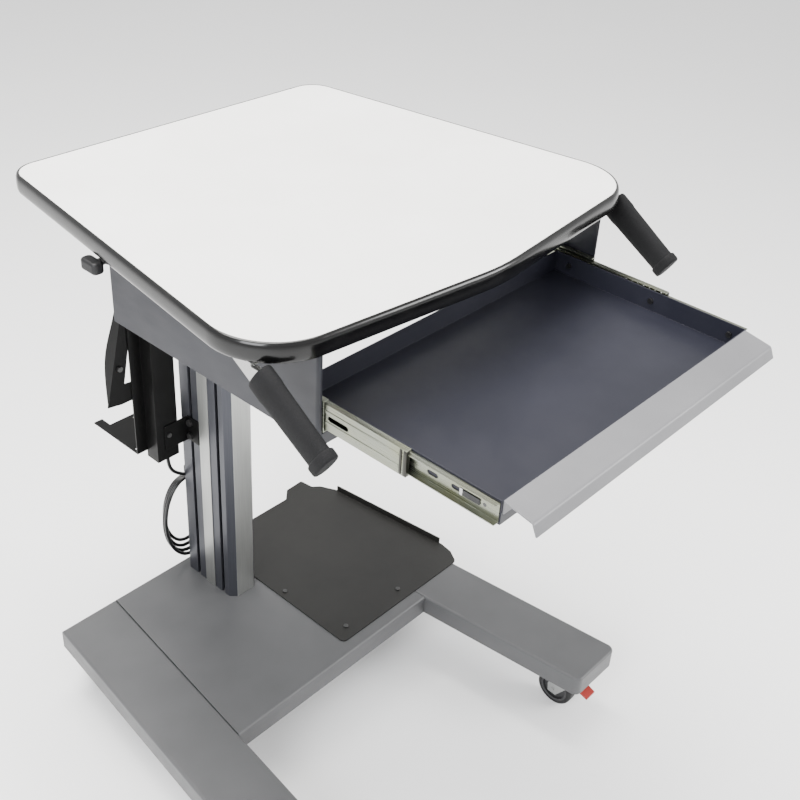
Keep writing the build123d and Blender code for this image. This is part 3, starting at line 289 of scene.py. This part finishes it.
def painted(name, tone, light, rough=(0.38, 0.5), grain=1400, depth=0.00006, edge=0.0006, gloss=0.4):
    """Powder coat: fine orange peel, slow drift in tone, paint rubbed lighter along edges."""
    material, tree, shader, place = start_material(name)
    shader.inputs["Specular IOR Level"].default_value = gloss
    drift = noise(tree, place, 5.0, 4.0)
    speck = noise(tree, place, grain, 2.0)
    colour = mixed(tree, mapped(tree, drift, 0.3, 0.7), tone, light)
    flecks = mapped(tree, speck, 0.55, 0.8, 0.0, 0.35)
    flecked = mixed(tree, flecks, colour, lighter(light, 1.6, 0.002))
    normal = soft_normal(tree, edge)
    worn = mapped(tree, noise(tree, place, 90, 4.0), 0.35, 0.7)
    rub = maths(tree, "MULTIPLY", edge_mask(tree, normal), worn)
    rubbed = mixed(tree, maths(tree, "MULTIPLY", rub, 0.35), flecked, lighter(light, 2.2, 0.01))
    smear = noise(tree, place, 22, 5.0, (1, 1, 2.5))
    roughness = mapped(tree, smear, 0.3, 0.75, *rough)
    finish_material(tree, shader, rubbed, roughness, speck, depth, normal)
    return material


def drawn_lines(tree, place, fine, broad, stretch):
    """Fine and broad lines drawn along one axis, added in fixed shares."""
    fine_lines = noise(tree, place, fine, 3.0, stretch)
    broad_lines = noise(tree, place, broad, 3.0, stretch)
    return maths(
        tree, "ADD", maths(tree, "MULTIPLY", fine_lines, 0.6), maths(tree, "MULTIPLY", broad_lines, 0.4)
    )


def drawn_metal(name, tone, light, along, rough=(0.25, 0.42), tinge=None):
    """Bare or plated metal with fine lines along one axis and a slow stain."""
    material, tree, shader, place = start_material(name, metallic=1.0, anisotropy=0.4)
    stretch = tuple(0.012 if i == along else 1.0 for i in range(3))
    lines = drawn_lines(tree, place, 1500, 260, stretch)
    colour = mixed(tree, mapped(tree, lines, 0.3, 0.7), tone, light)
    if tinge:
        stain = noise(tree, place, 14, 5.0)
        colour = mixed(tree, mapped(tree, stain, 0.45, 0.7, 0.0, 0.7), colour, tinge)
    roughness = mapped(tree, lines, 0.3, 0.7, *rough)
    finish_material(tree, shader, colour, roughness, lines, 0.00002, soft_normal(tree, 0.0005))
    return material


def moulded(name, tone, light, rough, grain, depth=0.00008, coat=0.0, edge=None):
    """Moulded plastic or rubber with a fine grain and faint scuffs."""
    material, tree, shader, place = start_material(name, coat=coat)
    shader.inputs["Specular IOR Level"].default_value = 0.3
    speck = noise(tree, place, grain, 3.0)
    drift = noise(tree, place, 9.0, 4.0)
    scuff = noise(tree, place, 60, 6.0, (1, 0.25, 1))
    colour = mixed(tree, mapped(tree, drift, 0.3, 0.7), tone, light)
    grains = mapped(tree, speck, 0.5, 0.75, 0.0, 0.5)
    grained = mixed(tree, grains, colour, lighter(light, 1.5, 0.002))
    normal = soft_normal(tree, edge) if edge else None
    roughness = mapped(tree, scuff, 0.3, 0.7, *rough)
    finish_material(tree, shader, grained, roughness, speck, depth, normal)
    return material


def floor_material():
    """Pale studio floor with the faintest mottling."""
    material, tree, shader, place = start_material("floor_pale")
    cloud = noise(tree, place, 1.2, 4.0)
    colour = mixed(tree, cloud, (0.88, 0.88, 0.88), (0.92, 0.92, 0.92))
    finish_material(tree, shader, colour, 0.7, noise(tree, place, 300, 2.0), 0.00005)
    return material


place_camera()
make_studio()


# ------------------------------------------------------------------ power cord
CORD_D = 7 * MM
CORD_TURNS = 4
POINTS_PER_TURN = 16
# Route of the cord and limits of its coil, in millimetres
CORD_LEAD = [(-71, 390.5, 446), (-71, 390.5, 416), (-50, 393, 388)]
CORD_TAIL = [(8, 423.5, 352), (32, 418.5, 360), (56, 413.5, 354), (70, 411.5, 330), (72, 411.5, 294)]
COIL_X, COIL_Y, COIL_PITCH = -20, 401.1, 6.0
COIL_TOP, COIL_BOTTOM, COIL_HALF_WIDTH = 362, 163, 60
PLUG_TOP = Vector(CORD_TAIL[-1]) * MM


def cord_route():
    """Control points from the grommet, round the loose turns on the hook, to the plug."""
    route = list(CORD_LEAD)
    first = 0.08
    steps = round((CORD_TURNS - first) * POINTS_PER_TURN)
    for i in range(steps + 1):
        turn = first + (CORD_TURNS - first) * i / steps
        angle = 2 * pi * turn
        low = (1 - cos(angle)) / 2
        top, bottom = COIL_TOP - 3.6 * turn, COIL_BOTTOM + 8 * turn
        half_width = COIL_HALF_WIDTH - 3.6 * turn
        x = COIL_X + half_width * sin(angle) + 3.5 * sin(2.3 * turn) * low
        z = (top + bottom) / 2 + (top - bottom) / 2 * cos(angle)
        route.append((x, COIL_Y + COIL_PITCH * turn, z))
    route += CORD_TAIL
    return [Vector(p) * MM for p in route]


def spline(name, points, diameter):
    """Smooth round cord along the control points."""
    data = bpy.data.curves.new(name, "CURVE")
    data.dimensions = "3D"
    data.bevel_depth = diameter / 2
    data.bevel_resolution = 5
    data.resolution_u = 6
    data.use_fill_caps = True
    line = data.splines.new("NURBS")
    line.points.add(len(points) - 1)
    for target, point in zip(line.points, points):
        target.co = (*point, 1.0)
    line.order_u = 3
    line.use_endpoint_u = True
    made = bpy.data.objects.new(name, data)
    bpy.context.collection.objects.link(made)
    return made


cord = spline("mains_cord", cord_route(), CORD_D)
CORD_SHEATH = moulded(
    "cord_sheath", (0.004, 0.004, 0.0045), (0.008, 0.008, 0.0085), (0.26, 0.4), 500, 0.00002, coat=0.15
)
paint(cord, CORD_SHEATH)
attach(cord, "frame")
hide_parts("power_cord", "cable_hank", "cord_tail")


# ------------------------------------------------------------------ power plug
def superellipse(centre, across, along, half_a, half_b, power, count):
    """Ring of points of a rounded rectangle in the plane of two directions."""
    ring = []
    for i in range(count):
        angle = 2 * pi * i / count
        ca, sa = cos(angle), sin(angle)
        a = half_a * (1 if ca >= 0 else -1) * abs(ca) ** (2 / power)
        b = half_b * (1 if sa >= 0 else -1) * abs(sa) ** (2 / power)
        ring.append(Vector(centre) + Vector(across) * a + Vector(along) * b)
    return ring


# Plug sections: depth below the cord's end, half width, half thickness and squareness, in millimetres
PLUG_SECTIONS = (
    (0, 4.6, 4.6, 2), (0.6, 5.2, 5.2, 2), (3, 5.3, 5.3, 2), (3.4, 4.7, 4.7, 2), (4.6, 4.7, 4.7, 2),
    (5, 5.6, 5.6, 2), (7.4, 5.8, 5.8, 2), (7.8, 5.0, 5.0, 2), (9, 5.0, 5.0, 2), (9.4, 6.1, 6.1, 2),
    (11.8, 6.4, 6.3, 2), (12.2, 5.5, 5.4, 2), (13.4, 5.6, 5.5, 2), (13.8, 6.8, 6.6, 2),
    (16.5, 7.2, 6.9, 2), (18, 9.5, 8.4, 2.4), (20, 11.2, 9.2, 2.8), (27, 11.4, 9.0, 3.2),
    (34, 10.8, 8.3, 3.2), (41, 11.2, 8.6, 3.2), (46, 12.6, 9.6, 3.4), (52, 13.0, 10.0, 3.6),
    (53.4, 12.6, 9.6, 3.6), (54, 11.8, 8.8, 3.6),
)
BLADE_SECTIONS = ((53, 0.8, 3.1, 6), (68.5, 0.8, 3.1, 6), (70.4, 0.55, 2.6, 6), (71, 0.25, 2.0, 6))
BLADE_OFFSET = 6.35


def hanging_loft(name, sections, shift, count):
    """Skin over sections below the cord's end, shifted along X in millimetres."""
    rings = []
    for drop, half_a, half_b, power in sections:
        centre = PLUG_TOP + Vector((shift, 0, -drop)) * MM
        rings.append(superellipse(centre, (1, 0, 0), (0, 1, 0), half_a * MM, half_b * MM, power, count))
    return loft(name, rings)


def make_plug():
    """Moulded plug with a ribbed strain relief, a waisted grip and two blades."""
    body = hanging_loft("plug_body", PLUG_SECTIONS, 0, 40)
    vinyl = moulded(
        "plug_vinyl", (0.006, 0.006, 0.0065), (0.012, 0.012, 0.0125), (0.36, 0.5), 1300, 0.00005
    )
    paint(body, vinyl)
    blades = []
    for side in (-1, 1):
        blade = hanging_loft("plug_blade", BLADE_SECTIONS, side * BLADE_OFFSET, 16)
        paint(blade, drawn_metal("plug_brass", (0.55, 0.42, 0.2), (0.75, 0.6, 0.33), 2))
        blades.append(blade)
    plug = join("mains_plug", [body, *blades])
    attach(plug, "frame")
    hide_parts("power_plug")
    return plug


plug = make_plug()


# ------------------------------------------------------------------ worktop and its black edge moulding
TOP_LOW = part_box("worktop_board")[0][2]
# Corners of the worktop with their rounding radii, and the strip's section as reach and height
TOP_CORNERS = [
    (0, -267.5, 320), (390, -224.5, 97), (302, 405.5, 45), (-302, 405.5, 45), (-390, -224.5, 97)
]
STRIP_SECTION = [
    (-5.6, 27.0), (-5.4, 27.35), (-4.9, 27.5), (-4.0, 27.45), (-2.9, 27.0), (-1.9, 26.0), (-1.1, 24.4),
    (-0.5, 22.2), (-0.15, 19.0), (0, 15.5), (0, 11.5), (-0.15, 8.0), (-0.5, 4.9), (-1.1, 2.6), (-1.9, 1.0),
    (-2.9, 0.0), (-4.0, -0.4), (-5.2, -0.5), (-5.6, -0.2), (-5.6, 0.3),
]
TURN_STEP = radians(3)


def rounded_outline(corners):
    """Points and outward normals round a polygon with rounded corners, in metres."""
    outline = []
    count = len(corners)
    for i in range(count):
        before = Vector(corners[i - 1][:2])
        at = Vector(corners[i][:2])
        after = Vector(corners[(i + 1) % count][:2])
        into, away = (at - before).normalized(), (after - at).normalized()
        turn = into.angle(away)
        radius = corners[i][2]
        reach = radius * sin(turn / 2) / cos(turn / 2)
        normal = Vector((into.y, -into.x))
        centre = at - into * reach - normal * radius
        pieces = max(3, int(turn / TURN_STEP))
        for k in range(pieces + 1):
            angle = turn * k / pieces
            out = Vector((
                normal.x * cos(angle) - normal.y * sin(angle),
                normal.x * sin(angle) + normal.y * cos(angle),
            ))
            outline.append(((centre + out * radius) * MM, out))
    return outline


def vinyl_material():
    """Glossy black vinyl with slow ripples and scuffs along the edge."""
    material, tree, shader, place = start_material("edge_vinyl", coat=0.2, coat_rough=0.08)
    shader.inputs["Specular IOR Level"].default_value = 0.3
    ripple = noise(tree, place, 38, 3.0)
    fine = noise(tree, place, 900, 2.0)
    scuff = noise(tree, place, 70, 6.0, (0.3, 0.3, 1.6))
    scuffs = mapped(tree, scuff, 0.55, 0.75, 0.0, 0.6)
    colour = mixed(tree, scuffs, (0.002, 0.002, 0.002), (0.006, 0.006, 0.0055))
    rough = mapped(tree, scuff, 0.35, 0.75, 0.14, 0.28)
    height = maths(tree, "ADD", ripple, maths(tree, "MULTIPLY", fine, 0.08))
    finish_material(tree, shader, colour, rough, height, 0.00025, strength=0.5)
    return material


def make_moulding():
    """Bulged black edge strip, its lips lapping just over the board's faces."""
    rings = []
    for point, out in rounded_outline(TOP_CORNERS):
        ring = []
        for reach, height in STRIP_SECTION:
            spot = point + out * reach * MM
            ring.append((spot.x, spot.y, TOP_LOW + height * MM))
        rings.append(ring)
    strip = loft("edge_strip", rings, closed=True)
    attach(strip, "frame")
    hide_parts("edge_moulding")
    paint(strip, vinyl_material())


def laminate_material():
    """Warm white laminate with a fine crystal texture."""
    material, tree, shader, place = start_material("white_laminate", coat=0.12, coat_rough=0.35)
    cells = node(tree, "ShaderNodeTexVoronoi", {"Vector": place, "Scale": 620.0, "Randomness": 1.0})
    pebble = noise(tree, place, 480, 4.0)
    fleck = noise(tree, place, 1300, 2.0)
    cloud = noise(tree, place, 6, 5.0)
    body = mixed(tree, mapped(tree, cloud, 0.3, 0.7), (0.80, 0.79, 0.765), (0.86, 0.855, 0.84))
    flecked = mixed(tree, mapped(tree, fleck, 0.6, 0.75, 0.0, 0.5), body, (0.70, 0.695, 0.68))
    height = maths(tree, "ADD", maths(tree, "MULTIPLY", cells.outputs["Distance"], 0.8), pebble)
    rough = mapped(tree, pebble, 0.3, 0.7, 0.34, 0.52)
    finish_material(tree, shader, flecked, rough, height, 0.00006)
    return material


make_moulding()
paint("worktop_board", laminate_material())


# ------------------------------------------------------------------ sheet metal, column and base
BLUE_GREY = painted(
    "blue_grey_coat", (0.014, 0.0147, 0.0192), (0.0195, 0.0203, 0.0255), gloss=0.3
)
TRAY_COAT = painted(
    "tray_coat", (0.0092, 0.0097, 0.0155), (0.0143, 0.0147, 0.0218), (0.34, 0.46), gloss=0.25
)
# Tray lip: the housing's blue-grey paint made many times lighter, a painted highlight for its top face lit
# from above
LIP_LIT_COAT = painted(
    "lip_painted_highlight_coat", (0.124, 0.124, 0.1302), (0.155, 0.155, 0.1612), (0.3, 0.4), edge=0.0008
)
BASE_COAT = painted(
    "base_coat", (0.0525, 0.053, 0.055), (0.07, 0.0705, 0.073), (0.36, 0.5), edge=0.001
)
SHELF_COAT = painted(
    "shelf_coat", (0.0064, 0.0062, 0.0056), (0.0104, 0.0102, 0.0092), (0.42, 0.55), 700, 0.00012, gloss=0.3
)
BLACK_COAT = painted(
    "black_coat", (0.0024, 0.0024, 0.0024), (0.0044, 0.0044, 0.0044), (0.28, 0.42), 1100, gloss=0.12
)
for name in ("housing_side_left", "housing_side_right", "housing_back", "housing_front_rail"):
    paint(name, BLUE_GREY)
for name in ("top_bracket_left", "top_bracket_right", "lever_bracket"):
    paint(name, BLUE_GREY)
for name in ("base_leg_left", "base_leg_right", "base_deck"):
    paint(name, BASE_COAT)
for name in ("holder_channel", "holder_shelf", "holder_brackets", "clamp_wing", "cable_hook"):
    paint(name, BLACK_COAT)
paint("tray_pan", TRAY_COAT)
paint("tray_lip", LIP_LIT_COAT)
paint("side_shelf", SHELF_COAT)
paint(
    "cable_grommet",
    moulded("grommet_rubber", (0.004, 0.004, 0.004), (0.008, 0.008, 0.008), (0.5, 0.65), 800),
)


COLUMN_SIDE = 0.0322  # distance from the middle where the bright side bands begin
COLUMN_FRONT = 0.0004  # how far behind the front face its bright bands reach
BAND_BLEND = 0.0004  # width over which a band fades into the painted shade of the lands


def column_material():
    """Drawn aluminium extrusion: bright drawn bands at the front and sides; the blue-grey on the recessed
    lands between is painted shade and painted dark reflection.
    """
    material, tree, shader, place = start_material("column_metal_and_painted_shade", anisotropy=0.3)
    axes = node(tree, "ShaderNodeSeparateXYZ", {"Vector": place}).outputs
    half_width = maths(tree, "ABSOLUTE", axes["X"])
    side = mapped(tree, half_width, COLUMN_SIDE, COLUMN_SIDE + BAND_BLEND)
    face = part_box("column")[0][1] + COLUMN_FRONT
    front = mapped(tree, axes["Y"], face, face + BAND_BLEND, 1.0, 0.0)
    bright = maths(tree, "MAXIMUM", side, front)
    lines = drawn_lines(tree, place, 1500, 300, (1, 1, 0.01))
    shade = mapped(tree, lines, 0.3, 0.7)
    silver = mixed(tree, shade, (0.312, 0.318, 0.306), (0.42, 0.426, 0.414))
    # Painted shade: dark blue-grey standing in for the shade and dark reflections on the recessed lands
    grey = mixed(tree, shade, (0.0375, 0.039, 0.0475), (0.055, 0.057, 0.0675))
    colour = mixed(tree, bright, grey, silver)
    tree.links.new(mapped(tree, bright, 0.0, 1.0, 0.55, 0.9), shader.inputs["Metallic"])
    rough = mapped(tree, lines, 0.3, 0.7, 0.3, 0.44)
    finish_material(tree, shader, colour, rough, lines, 0.00002, soft_normal(tree, 0.0006))
    return material


paint("column", column_material())
ZINC = drawn_metal(
    "zinc_plate", (0.155, 0.168, 0.142), (0.27, 0.28, 0.235), 1, (0.22, 0.36), (0.23, 0.23, 0.145)
)
for side in ("left", "right"):
    for member in ("outer", "mid", "inner"):
        paint(f"slide_{member}_{side}", ZINC)
STEEL = drawn_metal("bright_steel", (0.372, 0.372, 0.366), (0.48, 0.48, 0.474), 1, (0.2, 0.36))
paint("ball_cages", STEEL)
paint("handle_bar_left", STEEL)
paint("handle_bar_right", STEEL)
SCREW_STEEL = drawn_metal("screw_steel", (0.05, 0.05, 0.05), (0.11, 0.11, 0.11), 0, (0.3, 0.45))
for name in ("frame_bolts", "frame_screws", "tray_screws", "clamp_screw", "release_lever"):
    paint(name, SCREW_STEEL)
CASTER_STEEL = drawn_metal("caster_zinc", (0.288, 0.294, 0.288), (0.396, 0.402, 0.396), 2, (0.26, 0.42))
paint("caster_plates", CASTER_STEEL)
PADDLE = moulded(
    "paddle_nylon", (0.0048, 0.0048, 0.0052), (0.0088, 0.0088, 0.0096), (0.42, 0.56), 1000, edge=0.001
)
paint("lever_paddle", PADDLE)


# ------------------------------------------------------------------ handle grips
GRIP_TILT = radians(32)
GRIP_TOP = Vector((0.359, -0.1975, 1.024))
# Grip sections: distance down the bar, half width along X and half thickness, in millimetres
GRIP_SECTIONS = [
    (0, 9.5, 19.0), (0.5, 11.2, 21.0), (1.8, 12.3, 22.2), (4, 12.8, 22.8), (24, 13.0, 22.9),
    (27, 12.6, 22.4), (29, 12.3, 22.0), (50, 12.1, 21.4), (75, 11.9, 20.8), (100, 11.7, 20.2),
    (116, 11.6, 19.9), (117.6, 11.8, 20.1), (118.8, 13.6, 21.6), (120, 14.4, 22.4), (122, 14.6, 22.6),
    (128.5, 14.5, 22.5), (130.8, 13.9, 21.9), (131.8, 12.6, 20.6), (132, 11.0, 19.0),
]


def foam_material():
    """Dark closed-cell foam with a pebbled skin."""
    material, tree, shader, place = start_material("grip_foam")
    shader.inputs["Specular IOR Level"].default_value = 0.12
    cells = node(tree, "ShaderNodeTexVoronoi", {"Vector": place, "Scale": 900.0, "Randomness": 1.0})
    grain = noise(tree, place, 1400, 4.0)
    wrinkle = noise(tree, place, 120, 5.0, (1.6, 0.6, 0.6))
    drift = noise(tree, place, 18, 4.0)
    dark = mixed(tree, mapped(tree, drift, 0.3, 0.7), (0.004, 0.004, 0.0043), (0.007, 0.007, 0.0075))
    ridges = mapped(tree, cells.outputs["Distance"], 0.2, 0.8, 0.0, 0.8)
    colour = mixed(tree, ridges, dark, (0.012, 0.012, 0.0128))
    pebble = maths(tree, "ADD", maths(tree, "MULTIPLY", cells.outputs["Distance"], 0.9), grain)
    height = maths(tree, "ADD", pebble, maths(tree, "MULTIPLY", wrinkle, 1.2))
    rough = mapped(tree, grain, 0.3, 0.7, 0.62, 0.82)
    finish_material(tree, shader, colour, rough, height, 0.00022)
    return material


def make_grips():
    """Tapered oval grips with a longer shoulder at the top and a raised collar at the end."""
    foam = foam_material()
    down = Vector((0, -cos(GRIP_TILT), -sin(GRIP_TILT)))
    across = Vector((0, -sin(GRIP_TILT), cos(GRIP_TILT)))
    for side, name in ((-1, "left"), (1, "right")):
        start = Vector((side * GRIP_TOP.x, GRIP_TOP.y, GRIP_TOP.z))
        rings = [
            superellipse(start + down * (along * MM), (1, 0, 0), across, half_x * MM, half_t * MM, 2.3, 56)
            for along, half_x, half_t in GRIP_SECTIONS
        ]
        grip = loft(f"foam_grip_{name}", rings)
        paint(grip, foam)
        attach(grip, "frame")
        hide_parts(f"handle_grip_{name}")


make_grips()


# ------------------------------------------------------------------ casters
TYRE = moulded(
    "tyre_rubber", (0.0052, 0.0052, 0.0056), (0.0096, 0.0096, 0.01), (0.5, 0.68), 1200
)
CORE = moulded(
    "wheel_nylon", (0.02, 0.02, 0.0212), (0.03, 0.03, 0.0312), (0.38, 0.52), 900, edge=0.0008
)
PEDAL = moulded(
    "pedal_plastic", (0.22, 0.016, 0.012), (0.3, 0.024, 0.018), (0.36, 0.5), 1000, edge=0.0008
)
TYRE_STEPS = 96
# Tyre section: place along the axle and radius, in millimetres
TYRE_SECTION = [
    (-12, 29.2), (-12, 33.6), (-11.6, 35.2), (-10.6, 36.4), (-9, 37.1), (-6.4, 37.4), (-6, 37.0),
    (-5.6, 37.4), (0, 37.5), (5.6, 37.4), (6, 37.0), (6.4, 37.4), (9, 37.1), (10.6, 36.4), (11.6, 35.2),
    (12, 33.6), (12, 29.2),
]


def make_tyre(spot):
    """Solid rubber tyre turned about its axle, with two fine grooves round the tread."""
    low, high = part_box(f"wheel_tyre_{spot}")
    centre = (Vector(low) + Vector(high)) / 2
    rings = []
    for i in range(TYRE_STEPS):
        angle = 2 * pi * i / TYRE_STEPS
        rings.append([
            centre + Vector((x, r * cos(angle), r * sin(angle))) * MM for x, r in TYRE_SECTION
        ])
    tyre = loft(f"turned_tyre_{spot}", rings, closed=True)
    paint(tyre, TYRE)
    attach(tyre, f"wheel_{spot}")
    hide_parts(f"wheel_tyre_{spot}")


for spot in ("front_left", "front_right", "rear_left", "rear_right"):
    make_tyre(spot)
    paint(f"wheel_core_{spot}", CORE)
    paint(f"caster_fork_{spot}", CASTER_STEEL)
for spot in ("front_left", "front_right"):
    paint(f"brake_pedal_{spot}", PEDAL)


# ------------------------------------------------------------------ slide fittings
def block(name, low, high, bevel):
    """Box with rounded edges, built as a stack of rounded rectangles."""
    centre = (Vector(low) + Vector(high)) / 2
    half = (Vector(high) - Vector(low)) / 2
    rings = []
    for share, shrink in ((-1, 1.0), (-0.9, 0.3), (-0.75, 0.0), (0.75, 0.0), (0.9, 0.3), (1, 1.0)):
        inset = bevel * shrink
        middle = centre + Vector((0, half.y * share, 0))
        rings.append(superellipse(middle, (1, 0, 0), (0, 0, 1), half.x - inset, half.z - inset, 7, 36))
    return loft(name, rings)


# Slide fittings in metres: places along Y from a member's front, heights from its middle
STOPS = ((-0.0006, 0.0052), (0.0072, 0.0034))
STOP_PROUD, STOP_DEPTH, STOP_HALF_HEIGHT = 0.0012, 0.0052, 0.0178
RIB_SUNK, RIB_PROUD, RIB_HEIGHT = 0.0004, 0.0007, 0.0044
RIB_FEET = (-0.0102, 0.0058)
RIB_FRONT, RIB_REAR = 0.012, 0.002
TAB_GAP, TAB_THICKNESS, TAB_HALF_HEIGHT = 0.0012, 0.0016, 0.004
TAB_FRONT, TAB_REAR, LUG_REAR = 0.026, 0.051, 0.0555
LUG_HALF_HEIGHT, LUG_EXTRA = 0.0052, 0.0003


def fitting(name, material, x_pair, y_pair, z_pair, bevel):
    """Painted block between pairs of limits. The pair along X may come in either order."""
    left, right = sorted(x_pair)
    made = block(name, (left, y_pair[0], z_pair[0]), (right, y_pair[1], z_pair[1]), bevel)
    paint(made, material)
    return made


def make_stops(side, label, steel):
    """Front stops and pressed ribs of a middle slide member."""
    low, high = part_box(f"slide_mid_{label}")
    face = side * max(abs(low[0]), abs(high[0]))
    front, middle = low[1], (low[2] + high[2]) / 2
    across = (face + side * STOP_PROUD, face - side * STOP_DEPTH)
    heights = (middle - STOP_HALF_HEIGHT, middle + STOP_HALF_HEIGHT)
    pieces = []
    for start, length in STOPS:
        along = (front + start, front + start + length)
        pieces.append(fitting("stop", steel, across, along, heights, 0.0006))
    across = (face - side * RIB_SUNK, face + side * RIB_PROUD)
    along = (front + RIB_FRONT, high[1] - RIB_REAR)
    for foot in RIB_FEET:
        heights = (middle + foot, middle + foot + RIB_HEIGHT)
        pieces.append(fitting("rib", ZINC, across, along, heights, 0.0003))
    stops = join(f"slide_stop_{label}", pieces)
    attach(stops, "slide_middle")


def make_tab(side, label, plastic):
    """Release tab and its lug beside the front screw of an inner slide member."""
    low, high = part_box(f"slide_inner_{label}")
    face = side * (min(abs(low[0]), abs(high[0])) + TAB_GAP)
    front, middle = low[1], (low[2] + high[2]) / 2
    left, right = sorted((face, face + side * TAB_THICKNESS))
    along = (front + TAB_FRONT, front + TAB_REAR)
    heights = (middle - TAB_HALF_HEIGHT, middle + TAB_HALF_HEIGHT)
    lever = fitting("tab", plastic, (left, right), along, heights, 0.0005)
    along = (front + TAB_REAR, front + LUG_REAR)
    heights = (middle - LUG_HALF_HEIGHT, middle + LUG_HALF_HEIGHT)
    lug = fitting("lug", STEEL, (left, right + LUG_EXTRA), along, heights, 0.0004)
    tabs = join(f"slide_tab_{label}", [lever, lug])
    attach(tabs, "tray")


STOP_STEEL = drawn_metal("stop_steel", (0.02, 0.02, 0.018), (0.07, 0.07, 0.062), 2, (0.3, 0.46))
TAB_PLASTIC = moulded("tab_plastic", (0.010, 0.010, 0.011), (0.02, 0.02, 0.021), (0.35, 0.5), 1000)
for side, label in ((-1, "left"), (1, "right")):
    make_stops(side, label, STOP_STEEL)
    make_tab(side, label, TAB_PLASTIC)
